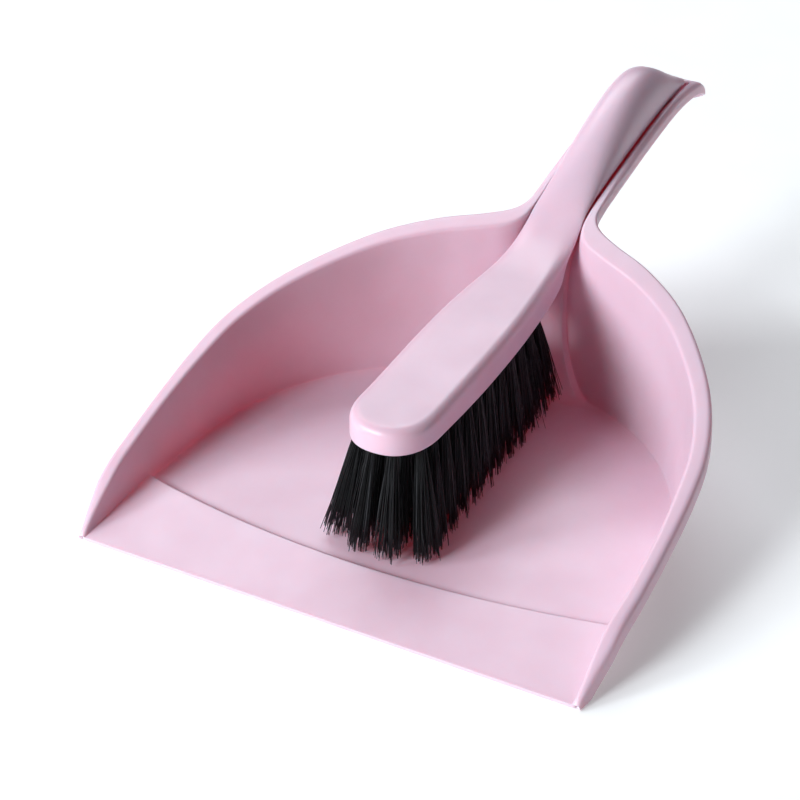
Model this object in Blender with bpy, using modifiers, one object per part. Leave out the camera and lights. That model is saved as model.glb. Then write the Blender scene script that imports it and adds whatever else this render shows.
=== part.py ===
"""Dust pan and brush set: a one-piece pan, and a hand brush whose handle nests in the pan's handle.

Lengths in the design are in millimetres and are turned into metres when a mesh is made.
The design runs along +Y from the pan's lip, at y = 0, to the tip of its handle. The floor of the room is z = 0.
World space has the same directions, with its origin under the middle of the set.
"""
import math

import bmesh
import bpy
import numpy as np
from mathutils import Vector

MM = 0.001

# Overall
LENGTH = 341.0                 # lip to the tip of the pan's handle
WALL = 1.5                     # thickness of the pan's moulding

# Pan: rim, seen from the side as (distance from the lip, height)
RIM_PROFILE = ((0, 2.0), (11, 10.4), (25, 18.9), (42, 24.1), (80, 35.7), (150, 57.1), (206, 74.9), (225, 80.0),
               (245, 84.5), (277, 90.4), (294, 92.6), (309, 93.2), (318, 92.4), (327, 89.2), (335, 84.4),
               (LENGTH, 79.5))
RIM_CHAMFER = 1.2              # rounded outer edge of the flange
SKIRT = 6.6                    # height of the flange's turned-down edge round the pan
HANDLE_SKIRT = 5.4             # and along the handle
SKIRT_CHANGE = (186.0, 216.0)  # where it goes from the one to the other
SKIRT_FLARE = 0.3
SKIRT_CLEARANCE = 0.4          # lowest point of the skirt above the floor of the room
NECK_Y = 206.0                 # where the pan's body and the brush's head have become their handles

# Pan: floor and ramp
LIP_Z = 1.7                    # top of the lip's edge
CREST_Z = 6.8                  # top of the ramp
FLOOR_Z = 4.5                  # top of the floor behind the ramp
TROUGH_DEPTH = 9.2             # depth of the handle's trough under its rim
TROUGH_HALF = 7.5              # half the trough's width at its bottom
TROUGH_RIM_HALF = 12.0         # and at its rim
HANDLE_HALF = 15.4             # half the handle's width over its flange
WALL_CURVE = ((0.17, 0.003), (0.30, 0.03), (0.41, 0.11), (0.56, 0.29), (0.76, 0.6),
              (1.0, 1.0))      # wall, as shares (out, up)
FLOOR_SHARES = (0.4, 0.75, 1.0)  # where the floor's columns stand between the middle and its edge

# Feet moulded under the floor
FOOT_WIDTH = 6.0
FOOT_LENGTH = 84.0
FOOT_X = 56.0
FOOT_Y = 98.0
FOOT_SINK = 0.5                # how far a foot goes into the floor's underside

# Brush: seen from the side
BRUSH_TOP = ((44, 57.9), (73, 58.8), (101, 60.6), (128, 62.3), (151, 63.5), (174, 65.0), (192, 68.8),
             (211, 79.8), (226, 89.6), (245, 99.6), (258, 104.8), (270, 108.0), (281, 109.0), (291, 107.4),
             (301, 103.0), (310, 97.6), (318, 93.6))
BRUSH_HALF_WIDTH = ((44, 17.2), (66, 17.2), (128, 17.2), (150, 15.9), (172, 13.8), (190, 12.7), (208, 11.3),
                    (240, 11.4), (290, 11.4), (318, 11.2))
BRUSH_ROWS = (65, 86, 107, 128, 142, 153, 163, 173, 182, 190, 199, 208, 217, 227, 238, 250, 261, 271, 281, 291,
              300, 306)        # where the cross-sections between the two rounded ends stand
FRONT_POWER = 0.87             # how square the front is, seen from above: 1 is round
END_POWER = 0.5
HEAD_THICKNESS = 12.8
FRONT_LIFT = 2.3               # how much thinner the head is at its front
FRONT_LIFT_CHANGE = (50.0, 105.0)
HEAD_FILLET = 4.6
FLAT_SHARES = (1.0, 0.35)      # where the columns of the flat top stand, from the middle out to the fillet
FILLET_SHARES = (1.0, 0.62, 0.32, 0.1, 0.0)  # and those of the fillet, out to its edge
HEAD_FRONT = 44.0
HEAD_FRONT_DEPTH = 21.0        # length of the rounded front end
HEAD_FRONT_ROWS = 8
HEAD_FRONT_SPINE = (0.72, 1.0)  # the front's rows start here on the middle line, as shares of its length
HEAD_END = 160.0               # where the flat underside of the head ends
DOME_CHANGE = (165.0, 222.0)   # where the flat top with its fillet becomes the handle's dome
DOME_POWER = 2.3               # how square the fillet and the dome are: 2 is round
DOME_GAP = 0.5                 # edge of the dome above the pan's rim
KEEL_CHANGE = (178.0, NECK_Y)  # where the underside narrows to the keel
BRUSH_END = 318.0
BRUSH_END_DEPTH = 9.0          # length of the rounded end
BRUSH_END_SPINE = (306.0, 309.0)
BRUSH_END_ROWS = 5
KEEL_DEPTH = 7.6               # how far the handle goes down into the trough
KEEL_HALF = 6.8                # half the handle's width at its bottom
KEEL_END_INSET = 0.25          # how far the keel's end stands back, as a share of the end's radius
POCKET_WALL = 2.4              # hollow under the handle
POCKET_KEEL_WALL = 1.9
POCKET_START = 214.0
POCKET_END = 300.0
POCKET_CROWN = 0.72            # half width near the hollow's top, as a share of its whole half width
POCKET_CROWN_HEIGHT = 0.8      # height of that corner and of the shoulder, as shares of the top's height
POCKET_SHOULDER_HEIGHT = 0.35
SLOT_Y = 304.3                 # hanging slot near the end of the brush's handle
SLOT_WIDTH = 12.0
SLOT_LENGTH = 5.4
SLOT_CUT = 40.0                # height of the slot's cutter

# Bristle tufts
INNER_ROW_X = 4.3
OUTER_ROW_X = 12.4
OUTER_ROW_EDGE = 4.6           # least distance from a hole's middle to the side of the head
INNER_ROW_TUFTS = 13
OUTER_ROW_TUFTS = 12
INNER_ROOTS = (52.5, 162.0)    # first and last hole of a row
OUTER_ROOTS = (58.0, 160.0)
INNER_TIPS = (40.5, 165.5)     # first and last tuft's tip
OUTER_TIPS = (46.0, 162.0)
SIDE_SPREAD = 1.28             # a tip's distance from the middle plane, times its root's
FRONT_SPREAD = 0.47            # added to that at the front
HOLE_RADIUS = 2.15
HOLE_DEPTH = 8.0
DRILL_START = 3.0              # how far below the head's underside a drill starts
TUFT_RADIUS = 1.7
TUFT_IN_HOLE = 7.4
TUFT_STRAIGHT = 1.0            # how far a tuft goes straight down before it spreads
TUFT_MIDDLE = 0.45             # height of its middle ring, as a share of its length
TIP_RADIUS = 3.8
TIP_Z = 5.0
TUFT_SIDES = 10

PINK = (0.80, 0.56, 0.66, 1.0)
BLACK = (0.012, 0.012, 0.014, 1.0)


def clear_scene():
    """Removes whatever the scene holds."""
    for thing in list(bpy.data.objects):
        bpy.data.objects.remove(thing, do_unlink=True)


def collection(name):
    """A new collection in the scene."""
    group = bpy.data.collections.new(name)
    bpy.context.scene.collection.children.link(group)
    return group


def material(name, colour, roughness):
    """A plain Principled material."""
    made = bpy.data.materials.new(name)
    made.use_nodes = True
    shader = made.node_tree.nodes["Principled BSDF"]
    shader.inputs["Base Color"].default_value = colour
    shader.inputs["Roughness"].default_value = roughness
    shader.inputs["Metallic"].default_value = 0.0
    return made


def curve(points, at):
    """A smooth curve through points given as (position, value), read at one position."""
    xs = [p[0] for p in points]
    vs = [p[1] for p in points]
    last = len(xs) - 1
    at = min(max(at, xs[0]), xs[last])
    i = min(max(int(np.searchsorted(xs, at, side="right")) - 1, 0), last - 1)
    slope = [(vs[k + 1] - vs[k]) / (xs[k + 1] - xs[k]) for k in range(last)]

    def tangent(k):
        if k == 0:
            return slope[0]
        if k == last:
            return slope[-1]
        return (slope[k - 1] + slope[k]) / 2

    width = xs[i + 1] - xs[i]
    t = (at - xs[i]) / width
    return ((2 * t ** 3 - 3 * t ** 2 + 1) * vs[i] + (t ** 3 - 2 * t ** 2 + t) * width * tangent(i)
            + (3 * t ** 2 - 2 * t ** 3) * vs[i + 1] + (t ** 3 - t ** 2) * width * tangent(i + 1))


def smooth_rows(rows, steps):
    """Rows of numbers with steps - 1 new rows between each two, on a Catmull-Rom curve."""
    rows = np.array(rows, float)
    padded = np.vstack([2 * rows[0] - rows[1], rows, 2 * rows[-1] - rows[-2]])
    out = []
    for i in range(1, len(padded) - 2):
        before, here, there, after = padded[i - 1:i + 3]
        for step in range(steps):
            t = step / steps
            slope = there - before
            bend = 2 * before - 5 * here + 4 * there - after
            twist = 3 * here - before - 3 * there + after
            out.append(0.5 * (2 * here + slope * t + bend * t ** 2 + twist * t ** 3))
    out.append(rows[-1])
    return np.array(out)


def rim_z(y):
    """Height of the pan's rim."""
    return curve(RIM_PROFILE, y)


def brush_top(y):
    """Height of the brush's upper surface on its centre line."""
    return curve(BRUSH_TOP, y)


def blend(a, b, y):
    """0 before a, 1 after b, and a smooth change between them."""
    t = min(max((y - a) / (b - a), 0.0), 1.0)
    return t * t * (3 - 2 * t)


def mesh_object(name, grid, group, finish):
    """An object whose faces join the points of a grid of rows, with its place in world metres."""
    mesh = bpy.data.meshes.new(name)
    shape = bmesh.new()
    rows = [[shape.verts.new((x * MM, (y - LENGTH / 2) * MM, z * MM)) for x, y, z in row] for row in grid]
    for low, high in zip(rows, rows[1:]):
        for k in range(len(low) - 1):
            shape.faces.new((low[k], low[k + 1], high[k + 1], high[k]))
    shape.to_mesh(mesh)
    shape.free()
    made = bpy.data.objects.new(name, mesh)
    group.objects.link(made)
    made.data.materials.append(finish)
    return made


def mirrored(made):
    """The other half of a piece that is open at its middle plane."""
    mirror = made.modifiers.new("other_half", "MIRROR")
    mirror.use_axis = (True, False, False)
    mirror.use_clip = True
    mirror.merge_threshold = 0.0001


def cut(made, tool, operation):
    """A Boolean of one object with another."""
    boolean = made.modifiers.new(tool.name, "BOOLEAN")
    boolean.operation = operation
    boolean.solver = "EXACT"
    boolean.object = tool


def hidden(tool):
    """Marks a cutter."""
    tool.hide_render = True
    tool.display_type = "WIRE"


def pan_stations():
    """Half sections of the pan: spine (y, z), floor edge (x, y, z), rim inner (x, y), rim outer (x, y)."""
    ramp = [
        (0.0, LIP_Z, 102.2, 0.0, LIP_Z, 103.4, 0.0, 105.5, 0.0),
        (14.6, 4.2, 100.9, 19.0, 4.2, 103.3, 20.0, 109.0, 19.0),
        (29.2, CREST_Z, 98.9, 41.0, CREST_Z, 104.4, 42.0, 110.0, 42.0),
    ]
    trough_y = (224, 243, 262, 281, 298)
    body = [
        (31.2, FLOOR_Z, 98.6, 43.2, FLOOR_Z, 104.5, 44.5, 110.0, 44.5),
        (55.0, FLOOR_Z, 98.0, 63.0, FLOOR_Z, 104.4, 64.0, 110.1, 64.0),
        (80.0, FLOOR_Z, 96.6, 86.0, FLOOR_Z, 103.0, 86.0, 109.4, 88.0),
        (106.0, FLOOR_Z, 92.8, 106.5, FLOOR_Z, 100.0, 107.5, 106.6, 109.5),
        (128.0, FLOOR_Z, 84.8, 126.5, FLOOR_Z, 92.2, 128.5, 98.6, 131.5),
        (146.0, FLOOR_Z, 72.5, 145.5, FLOOR_Z, 80.0, 147.5, 85.6, 152.5),
        (159.0, FLOOR_Z, 57.0, 159.5, FLOOR_Z, 63.8, 165.5, 68.0, 172.8),
        (167.0, FLOOR_Z, 40.0, 169.5, FLOOR_Z, 45.4, 178.3, 48.4, 187.0),
        (172.5, 5.6, 25.0, 175.0, 6.0, 28.6, 186.2, 31.0, 195.4),
        (181.0, 20.0, 14.5, 182.0, 23.0, 18.4, 191.6, 20.6, 201.6),
        (189.5, 45.0, 9.4, 191.0, 46.5, 13.4, 198.0, 16.2, 208.0),
        (204.0, 65.2, TROUGH_HALF, 205.0, 65.2, TROUGH_RIM_HALF, 207.5, HANDLE_HALF, 216.5),
    ]
    for y in trough_y:
        bottom = rim_z(y) - TROUGH_DEPTH
        flange_end = y + 5.0 * blend(240, 224, y)
        body.append((y, bottom, TROUGH_HALF, y, bottom, TROUGH_RIM_HALF, y, HANDLE_HALF, flange_end))
    bottom = rim_z(311) - TROUGH_DEPTH
    body.append((311.0, bottom, TROUGH_HALF, 311.0, bottom, TROUGH_RIM_HALF, 311.5, 15.8, 312.0))
    bottom = rim_z(319) - TROUGH_DEPTH + 1.0
    body.append((319.2, bottom, 7.0, 319.0, bottom, 11.4, 319.6, 16.0, 323.0))
    bottom = rim_z(322) - 0.8
    body.append((321.8, bottom, 5.2, 321.6, bottom, 7.6, 322.6, 14.6, 331.0))
    body.append((324.0, rim_z(324), 3.0, 324.6, rim_z(324.6), 4.2, 325.6, 9.0, 338.0))
    body.append((325.0, rim_z(325), 0.0, 326.0, rim_z(326.0), 0.0, 327.4, 0.0, LENGTH))
    return np.array(ramp), smooth_rows(body, 2)


def pan_row(station):
    """One half section of the pan, from the middle out to the bottom of the skirt."""
    spine_y, spine_z, edge_x, edge_y, edge_z, inner_x, inner_y, outer_x, outer_y = station
    row = [(0.0, spine_y, spine_z)]
    for t in FLOOR_SHARES:
        row.append((edge_x * t, spine_y + (edge_y - spine_y) * t * t, spine_z + (edge_z - spine_z) * t))
    top = rim_z(inner_y)
    for out, up in WALL_CURVE:
        row.append((edge_x + (inner_x - edge_x) * out, edge_y + (inner_y - edge_y) * out,
                    edge_z + (top - edge_z) * up))
    across = Vector((outer_x - inner_x, outer_y - inner_y))
    width = across.length
    out = across / width
    outer_z = rim_z(outer_y)
    flat = 1 - RIM_CHAMFER / width
    row.append((inner_x + across.x * flat, inner_y + across.y * flat, rim_z(inner_y + across.y * flat)))
    row.append((outer_x, outer_y, outer_z - min(RIM_CHAMFER, outer_z / 3)))
    skirt = SKIRT + (HANDLE_SKIRT - SKIRT) * blend(*SKIRT_CHANGE, outer_y)
    low = max(outer_z - skirt, SKIRT_CLEARANCE)
    row.append((outer_x + out.x * SKIRT_FLARE, outer_y + out.y * SKIRT_FLARE * (outer_y < LENGTH), low))
    return row


def make_dustpan(parts, cutters, finish):
    """The pan: ramp, floor, wall, flanged rim and trough-shaped handle in one moulding."""
    ramp, body = pan_stations()
    grid = [pan_row(s) for s in (*ramp, *body)]
    pan = mesh_object("dustpan", grid, parts, finish)
    mirrored(pan)
    shell = pan.modifiers.new("wall", "SOLIDIFY")
    shell.thickness = WALL * MM
    shell.offset = -1.0
    shell.use_even_offset = True
    for side in (-1, 1):
        height = FLOOR_Z - WALL + FOOT_SINK
        foot = box(f"foot_{'left' if side < 0 else 'right'}", (side * FOOT_X, FOOT_Y, height / 2),
                   (FOOT_WIDTH, FOOT_LENGTH, height), cutters)
        cut(pan, foot, "UNION")
    return pan


def box(name, centre, size, group):
    """A box in the design's millimetres."""
    x, y, z = centre
    bpy.ops.mesh.primitive_cube_add(size=1, location=(x * MM, (y - LENGTH / 2) * MM, z * MM))
    made = bpy.context.object
    made.name = name
    made.data.name = name
    for v in made.data.vertices:
        v.co = Vector([c * s * MM for c, s in zip(v.co, size)])
    for owner in list(made.users_collection):
        owner.objects.unlink(made)
    group.objects.link(made)
    hidden(made)
    return made


def brush_stations():
    """Half sections of the brush, each as the spine's y and the outline's (x, y)."""
    rows = []
    head = curve(BRUSH_HALF_WIDTH, HEAD_FRONT)
    near, far = HEAD_FRONT_SPINE
    for i in range(HEAD_FRONT_ROWS):
        share = i / HEAD_FRONT_ROWS
        turn = math.pi / 2 * share
        rows.append((HEAD_FRONT + HEAD_FRONT_DEPTH * (near + (far - near) * share),
                     head * math.sin(turn) ** FRONT_POWER,
                     HEAD_FRONT + HEAD_FRONT_DEPTH * (1 - math.cos(turn) ** FRONT_POWER)))
    for y in BRUSH_ROWS:
        rows.append((y, curve(BRUSH_HALF_WIDTH, y), y))
    near, far = BRUSH_END_SPINE
    tail = curve(BRUSH_HALF_WIDTH, BRUSH_END)
    for i in range(1, BRUSH_END_ROWS):
        share = i / BRUSH_END_ROWS
        turn = math.pi / 2 * share
        rows.append((near + (far - near) * share, tail * math.cos(turn) ** END_POWER,
                     BRUSH_END - BRUSH_END_DEPTH * (1 - math.sin(turn) ** END_POWER)))
    rows.append((far, 0.0, BRUSH_END))
    return rows


def brush_bottom(y):
    """Height of the brush's underside."""
    lift = FRONT_LIFT * (1 - blend(*FRONT_LIFT_CHANGE, y))
    head = brush_top(min(y, HEAD_END)) - HEAD_THICKNESS + lift
    keel = rim_z(y) - KEEL_DEPTH
    return head + (keel - head) * blend(HEAD_END, NECK_Y, y) if y > HEAD_END else head


def brush_row(station):
    """One half section of the brush, from the middle of its top round to the middle of its underside."""
    spine_y, out_x, out_y = station
    domed = blend(*DOME_CHANGE, out_y)
    reach = math.hypot(out_x, out_y - spine_y)
    fillet = HEAD_FILLET + (reach - HEAD_FILLET) * domed
    height = brush_top(out_y) - rim_z(out_y) - DOME_GAP
    drop = HEAD_FILLET + (max(height, 0.6) - HEAD_FILLET) * domed
    row = []
    flat = [fillet + share * (reach - fillet) for share in FLAT_SHARES]
    for inset in (*flat, *(share * fillet for share in FILLET_SHARES)):
        t = 1 - inset / reach
        y = spine_y + (out_y - spine_y) * t
        fall = 1 - (1 - (1 - inset / fillet) ** DOME_POWER) ** (1 / DOME_POWER) if inset < fillet else 0.0
        row.append((out_x * t, y, brush_top(y) - drop * fall))
    keel = blend(*KEEL_CHANGE, out_y)
    low = brush_bottom(out_y)
    narrow = 1 + (KEEL_HALF / max(out_x, KEEL_HALF) - 1) * keel
    row.append((out_x * narrow, spine_y + (out_y - spine_y) * (1 - KEEL_END_INSET * keel), low))
    row.append((0.0, spine_y, brush_bottom(spine_y)))
    return row


def tuft_places():
    """Every tuft's name, root (x, y) and tip (x, y)."""
    places = []
    rows = ((-1, OUTER_ROW_X, OUTER_ROW_TUFTS, OUTER_ROOTS, OUTER_TIPS),
            (-1, INNER_ROW_X, INNER_ROW_TUFTS, INNER_ROOTS, INNER_TIPS),
            (1, INNER_ROW_X, INNER_ROW_TUFTS, INNER_ROOTS, INNER_TIPS),
            (1, OUTER_ROW_X, OUTER_ROW_TUFTS, OUTER_ROOTS, OUTER_TIPS))
    for row, (side, row_x, count, roots, tips) in enumerate(rows, start=1):
        for i in range(count):
            along = i / (count - 1)
            root_y = roots[0] + (roots[1] - roots[0]) * along
            root_x = side * min(row_x, curve(BRUSH_HALF_WIDTH, root_y) - OUTER_ROW_EDGE)
            tip_x = root_x * (SIDE_SPREAD + FRONT_SPREAD * (1 - along) ** 3)
            tip_y = tips[0] + (tips[1] - tips[0]) * along
            places.append((f"tuft_{row}_{i + 1:02d}", (root_x, root_y), (tip_x, tip_y)))
    return places


def ring(centre_x, centre_y, z, radius):
    """Points of a level circle."""
    return [(centre_x + radius * math.cos(2 * math.pi * k / TUFT_SIDES),
             centre_y + radius * math.sin(2 * math.pi * k / TUFT_SIDES), z) for k in range(TUFT_SIDES)]


def tube(name, rings, group, finish):
    """A closed solid through level rings, the lowest first."""
    mesh = bpy.data.meshes.new(name)
    shape = bmesh.new()
    rows = [[shape.verts.new((x * MM, (y - LENGTH / 2) * MM, z * MM)) for x, y, z in row] for row in rings]
    for low, high in zip(rows, rows[1:]):
        for k in range(TUFT_SIDES):
            nxt = (k + 1) % TUFT_SIDES
            shape.faces.new((low[k], low[nxt], high[nxt], high[k]))
    shape.faces.new(rows[0][::-1])
    shape.faces.new(rows[-1])
    shape.to_mesh(mesh)
    shape.free()
    made = bpy.data.objects.new(name, mesh)
    group.objects.link(made)
    if finish:
        made.data.materials.append(finish)
    return made


def make_tufts(parts, finish):
    """The bristle tufts, each a bundle that spreads from its hole down to the pan's floor."""
    made = []
    for name, (root_x, root_y), (tip_x, tip_y) in tuft_places():
        face = brush_bottom(root_y)
        exit_z = face - TUFT_STRAIGHT
        mid_x = tip_x + (root_x - tip_x) * TUFT_MIDDLE
        mid_y = tip_y + (root_y - tip_y) * TUFT_MIDDLE
        mid_z = TIP_Z + (exit_z - TIP_Z) * TUFT_MIDDLE
        made.append(tube(name, (
            ring(tip_x, tip_y, TIP_Z, TIP_RADIUS),
            ring(mid_x, mid_y, mid_z, (TIP_RADIUS + TUFT_RADIUS) / 2),
            ring(root_x, root_y, exit_z, TUFT_RADIUS),
            ring(root_x, root_y, face + TUFT_IN_HOLE, TUFT_RADIUS)), parts, finish))
    return made


def join(name, pieces, group):
    """One object out of many."""
    mesh = bpy.data.meshes.new(name)
    shape = bmesh.new()
    for piece in pieces:
        shape.from_mesh(piece.data)
    shape.to_mesh(mesh)
    shape.free()
    for piece in pieces:
        bpy.data.objects.remove(piece, do_unlink=True)
    made = bpy.data.objects.new(name, mesh)
    group.objects.link(made)
    hidden(made)
    return made


def make_brush_block(parts, cutters, finish):
    """The brush's block and handle in one moulding, with a blind hole for each tuft and a hollow handle."""
    block = mesh_object("brush_block", [brush_row(s) for s in brush_stations()], parts, finish)
    mirrored(block)
    drills = []
    for name, (x, y), _ in tuft_places():
        face = brush_bottom(y)
        drills.append(tube(f"drill_{name}", [
            ring(x, y, z, HOLE_RADIUS) for z in (face - DRILL_START, face + HOLE_DEPTH)],
            cutters, None))
    cut(block, join("tuft_drills", drills, cutters), "DIFFERENCE")
    cut(block, make_pocket(cutters), "DIFFERENCE")
    slot = box("hanging_slot", (0, SLOT_Y, rim_z(SLOT_Y)), (SLOT_WIDTH, SLOT_LENGTH, SLOT_CUT), cutters)
    cut(block, slot, "DIFFERENCE")
    return block


def make_pocket(cutters):
    """The hollow under the brush's handle."""
    rows = []
    for y in (POCKET_START, 226, 240, 256, 270, 284, 294, POCKET_END):
        low = rim_z(y) - KEEL_DEPTH - DRILL_START
        top = brush_top(y) - POCKET_WALL
        shoulder = rim_z(y) + POCKET_SHOULDER_HEIGHT * (top - rim_z(y))
        crown = rim_z(y) + POCKET_CROWN_HEIGHT * (top - rim_z(y))
        half = curve(BRUSH_HALF_WIDTH, y) - POCKET_WALL
        keel = KEEL_HALF - POCKET_KEEL_WALL
        rows.append([(0, y, top), (POCKET_CROWN * half, y, crown), (half, y, shoulder),
                     (half, y, rim_z(y)), (keel, y, rim_z(y) - KEEL_DEPTH + 1.0), (keel, y, low), (0, y, low)])
    first = [(0, POCKET_START, z) for _, _, z in rows[0]]
    last = [(0, POCKET_END, z) for _, _, z in rows[-1]]
    pocket = mesh_object("handle_pocket", [first, *rows, last], cutters, bpy.data.materials["brush_plastic"])
    mirrored(pocket)
    hidden(pocket)
    return pocket


def main():
    """Builds the set."""
    clear_scene()
    parts = collection("dust_pan_and_brush_set")
    cutters = collection("cutters")
    pan_plastic = material("pan_plastic", PINK, 0.35)
    brush_plastic = material("brush_plastic", PINK, 0.35)
    bristle = material("bristle_nylon", BLACK, 0.5)
    make_dustpan(parts, cutters, pan_plastic)
    block = make_brush_block(parts, cutters, brush_plastic)
    tufts = make_tufts(parts, bristle)
    axis = bpy.data.objects.new("brush_lift_axis", None)
    axis.location = (0, (HEAD_END - LENGTH / 2) * MM, brush_top(HEAD_END) * MM)
    parts.objects.link(axis)
    bpy.context.view_layer.update()
    for made in (block, *tufts):
        made.parent = axis
        made.matrix_parent_inverse = axis.matrix_world.inverted()


main()
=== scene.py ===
"""Looks of a dust pan and brush set: a pastel moulded pan, and a hand brush that nests in the pan's handle.

Lengths in the design are in millimetres. They run along +Y from the pan's lip, at y = 0, to the tip of its
handle, with the middle plane at x = 0 and the ground at z = 0. A mesh is turned into metres of the row frame
when it is made.
"""

import logging
import math
from dataclasses import dataclass, field
from enum import Enum
from typing import Any, Iterable

import bpy
import numpy as np
from mathutils import Matrix, Vector

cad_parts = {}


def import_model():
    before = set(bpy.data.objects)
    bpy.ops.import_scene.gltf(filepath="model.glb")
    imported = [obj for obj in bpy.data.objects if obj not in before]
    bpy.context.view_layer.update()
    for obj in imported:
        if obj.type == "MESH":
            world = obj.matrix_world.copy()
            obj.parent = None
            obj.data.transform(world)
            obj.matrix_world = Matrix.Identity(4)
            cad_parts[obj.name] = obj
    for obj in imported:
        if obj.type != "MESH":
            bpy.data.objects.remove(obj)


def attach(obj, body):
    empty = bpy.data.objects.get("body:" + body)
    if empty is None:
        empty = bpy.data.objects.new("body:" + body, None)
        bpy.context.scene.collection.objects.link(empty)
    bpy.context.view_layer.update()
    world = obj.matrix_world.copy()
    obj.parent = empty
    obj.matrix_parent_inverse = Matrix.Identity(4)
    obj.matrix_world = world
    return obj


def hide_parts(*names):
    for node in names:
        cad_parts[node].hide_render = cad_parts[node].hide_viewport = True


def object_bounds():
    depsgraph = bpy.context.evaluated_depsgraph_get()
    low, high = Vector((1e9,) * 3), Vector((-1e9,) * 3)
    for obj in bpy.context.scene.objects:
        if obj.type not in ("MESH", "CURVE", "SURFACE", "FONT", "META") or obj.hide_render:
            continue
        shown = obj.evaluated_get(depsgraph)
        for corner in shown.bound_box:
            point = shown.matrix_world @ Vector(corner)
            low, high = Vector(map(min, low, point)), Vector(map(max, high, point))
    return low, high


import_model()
CAD_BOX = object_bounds()

LOG = logging.getLogger("dust_pan_set")
MM = 0.001
LIP_AT = CAD_BOX[0][1]
LENGTH = (CAD_BOX[1][1] - CAD_BOX[0][1]) / MM

Colour = tuple[float, float, float, float]
Pair = tuple[float, float]
Line = list[np.ndarray]


class Body(Enum):
    """The bodies that pieces ride on."""

    PAN = "pan"
    BRUSH = "brush"


class Slot(Enum):
    """The material slots of the record."""

    PAN = "pan_plastic"
    BRUSH = "brush_plastic"
    BRISTLES = "bristles"


class Cut(Enum):
    """What a Boolean does with its second mesh."""

    ADD = "UNION"
    REMOVE = "DIFFERENCE"


# --------------------------------------------------------------------------------------------------
# Curves and lines
# --------------------------------------------------------------------------------------------------


@dataclass(frozen=True)
class Profile:
    """A smooth curve through points, given as (position, value)."""

    points: tuple[Pair, ...]

    def at(self, position: float) -> float:
        """Reads the curve.

        Args:
            position: Where to read it. Past an end, the curve goes straight on.

        Returns:
            The value there.
        """
        xs = [p[0] for p in self.points]
        vs = [p[1] for p in self.points]
        last = len(xs) - 1
        slopes = [(vs[k + 1] - vs[k]) / (xs[k + 1] - xs[k]) for k in range(last)]
        if position <= xs[0]:
            return vs[0] + slopes[0] * (position - xs[0])
        if position >= xs[last]:
            return vs[last] + slopes[-1] * (position - xs[last])
        i = int(np.searchsorted(xs, position, side="right")) - 1
        tangents = [slopes[0], *((a + b) / 2 for a, b in zip(slopes, slopes[1:])), slopes[-1]]
        width = xs[i + 1] - xs[i]
        t = (position - xs[i]) / width
        return ((2 * t**3 - 3 * t**2 + 1) * vs[i] + (t**3 - 2 * t**2 + t) * width * tangents[i]
                + (3 * t**2 - 2 * t**3) * vs[i + 1] + (t**3 - t**2) * width * tangents[i + 1])

    def fair(self, position: float, reach: float = 3.0) -> float:
        """Reads the curve with its small unevenness taken out.

        Args:
            position: Where to read it.
            reach: How far to both sides its values are averaged.

        Returns:
            The averaged value.
        """
        return sum(self.at(position + reach * share) for share in (-1.0, -0.5, 0.0, 0.5, 1.0)) / 5


def blend(start: float, end: float, position: float) -> float:
    """Goes smoothly from 0 at start to 1 at end.

    Args:
        start: Up to here it is 0.
        end: From here on it is 1.
        position: Where to read it.

    Returns:
        A number from 0 to 1.
    """
    t = min(max((position - start) / (end - start), 0.0), 1.0)
    return t * t * (3 - 2 * t)


def smooth_rows(rows: Iterable[Iterable[float]], steps: int) -> np.ndarray:
    """Puts new rows between each two rows, on a Catmull-Rom curve through them all.

    Args:
        rows: Rows of numbers.
        steps: How many parts each gap is divided into.

    Returns:
        The rows, old and new.
    """
    old = np.array(list(rows), float)
    padded = np.vstack([2 * old[0] - old[1], old, 2 * old[-1] - old[-2]])
    new = []
    for i in range(1, len(padded) - 2):
        before, here, there, after = padded[i - 1:i + 3]
        for step in range(steps):
            t = step / steps
            slope = there - before
            turn = 2 * before - 5 * here + 4 * there - after
            twist = 3 * here - before - 3 * there + after
            new.append(0.5 * (2 * here + slope * t + turn * t**2 + twist * t**3))
    new.append(old[-1])
    return np.array(new)


def arc(start: np.ndarray, corner: np.ndarray, end: np.ndarray, steps: int) -> Line:
    """Draws the short curve that replaces a corner.

    Args:
        start: Where the curve leaves the first side.
        corner: The corner itself.
        end: Where it meets the second side.
        steps: How many parts it has.

    Returns:
        Its points, both ends with them.
    """
    return [(1 - t) ** 2 * start + 2 * t * (1 - t) * corner + t * t * end
            for t in np.linspace(0, 1, steps + 1)]


def shortened(line: Line, reach: float) -> Line:
    """Shortens a line at its end and spreads its points over what is left.

    Args:
        line: The line's points.
        reach: How much is taken off. At least half of the line is kept.

    Returns:
        As many points as before.
    """
    points = np.array(line)
    lengths = np.concatenate([[0.0], np.cumsum(np.linalg.norm(np.diff(points, axis=0), axis=1))])
    kept = lengths * max(1 - reach / lengths[-1], 0.5)
    return list(np.stack([np.interp(kept, lengths, points[:, k]) for k in range(3)], 1))


def soften(line: Line, corner: int, reach: float, steps: int) -> Line:
    """Rounds one corner of a line.

    Args:
        line: The line's points.
        corner: Index of the corner's point.
        reach: How far from the corner the rounding starts. It is kept under half of each neighbouring length.
        steps: How many parts the rounding has.

    Returns:
        The line with steps more points.
    """
    here = line[corner]
    before, after = line[corner - 1] - here, line[corner + 1] - here
    start = here + before * min(reach / max(float(np.linalg.norm(before)), 1e-9), 0.45)
    end = here + after * min(reach / max(float(np.linalg.norm(after)), 1e-9), 0.45)
    return [*line[:corner], *arc(start, here, end, steps), *line[corner + 1:]]


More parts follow.
